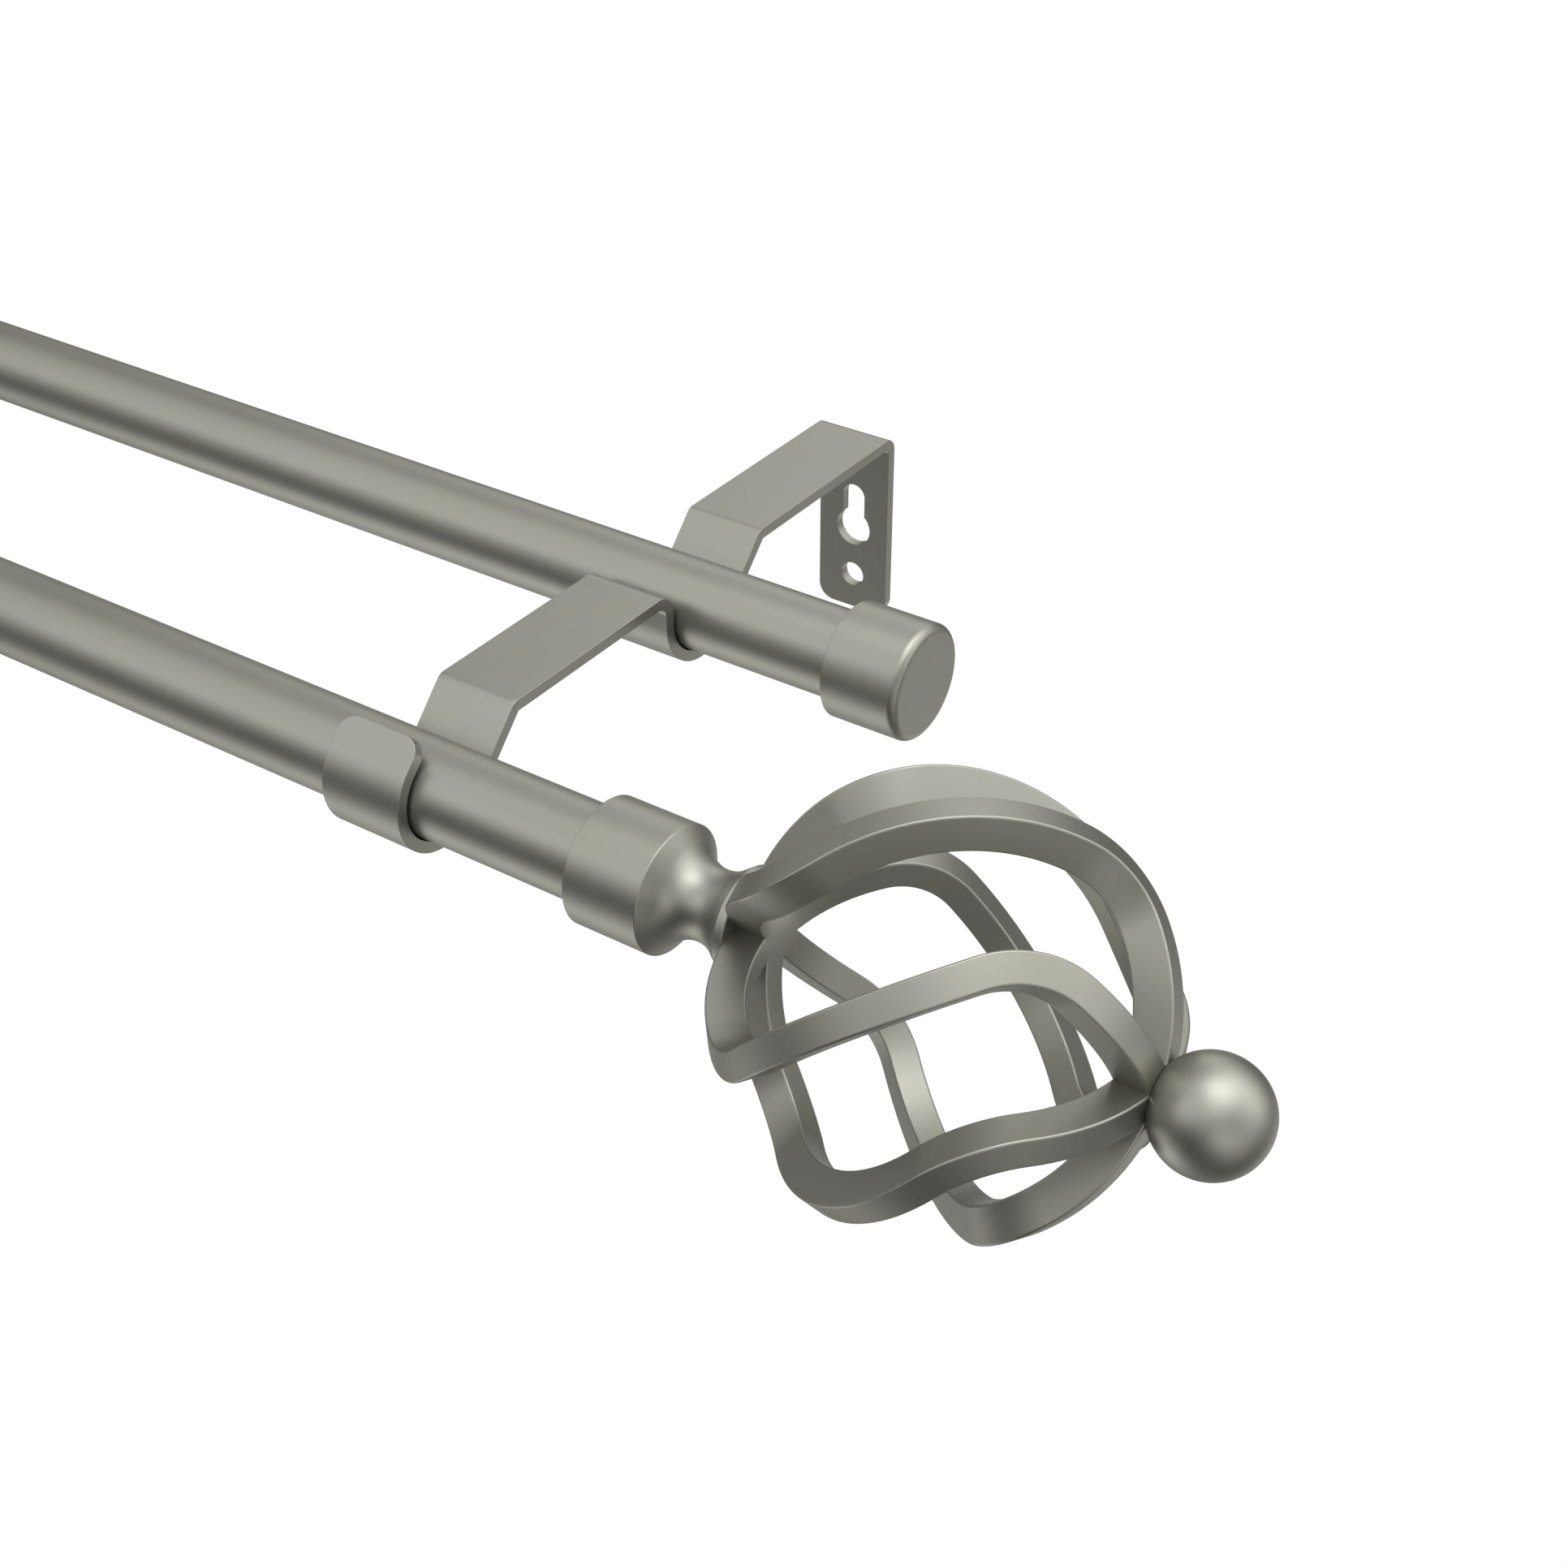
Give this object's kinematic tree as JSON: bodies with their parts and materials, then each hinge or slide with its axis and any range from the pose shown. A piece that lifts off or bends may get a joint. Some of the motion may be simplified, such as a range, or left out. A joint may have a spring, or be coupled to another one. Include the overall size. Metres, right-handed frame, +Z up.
{
  "type": "curtain rod",
  "caption": "Double curtain rod set for a wall: bent strip brackets hold a front rod with twisted cage finials and a back rod with plain end caps",
  "frame": {"origin": "centre of the lower screw hole of the right bracket, on the wall plane", "axes": "X runs along the rods to the right, +Y goes into the wall, +Z is up"},
  "size_m": [0.8488, 0.1985, 0.0803],
  "materials": {
    "rod_nickel": "satin nickel plate on a drawn steel tube, smooth, warm grey",
    "bracket_nickel": "satin nickel plate on bent steel strip, smooth, warm grey",
    "turned_nickel": "satin nickel plate on turned metal, smooth, warm grey",
    "cage_nickel": "satin nickel plate on welded square bars, smooth, warm grey",
    "screw_steel": "plain zinc-plated steel, dull grey"
  },
  "bodies": {
    "root": {"front_rod": "rod_nickel", "back_rod": "rod_nickel", "bracket_right": "bracket_nickel", "bracket_left": "bracket_nickel", "finial_collar_right": "turned_nickel", "finial_collar_left": "turned_nickel", "finial_cage_right": "cage_nickel", "finial_cage_left": "cage_nickel", "finial_ball_right": "turned_nickel", "finial_ball_left": "turned_nickel", "cage_stud_right": "screw_steel", "cage_stud_left": "screw_steel", "ball_stud_right": "screw_steel", "ball_stud_left": "screw_steel", "collar_screw_right": "screw_steel", "collar_screw_left": "screw_steel", "back_cap_right": "turned_nickel", "back_cap_left": "turned_nickel", "cap_screw_right": "screw_steel", "cap_screw_left": "screw_steel"}
  },
  "joints": []
}
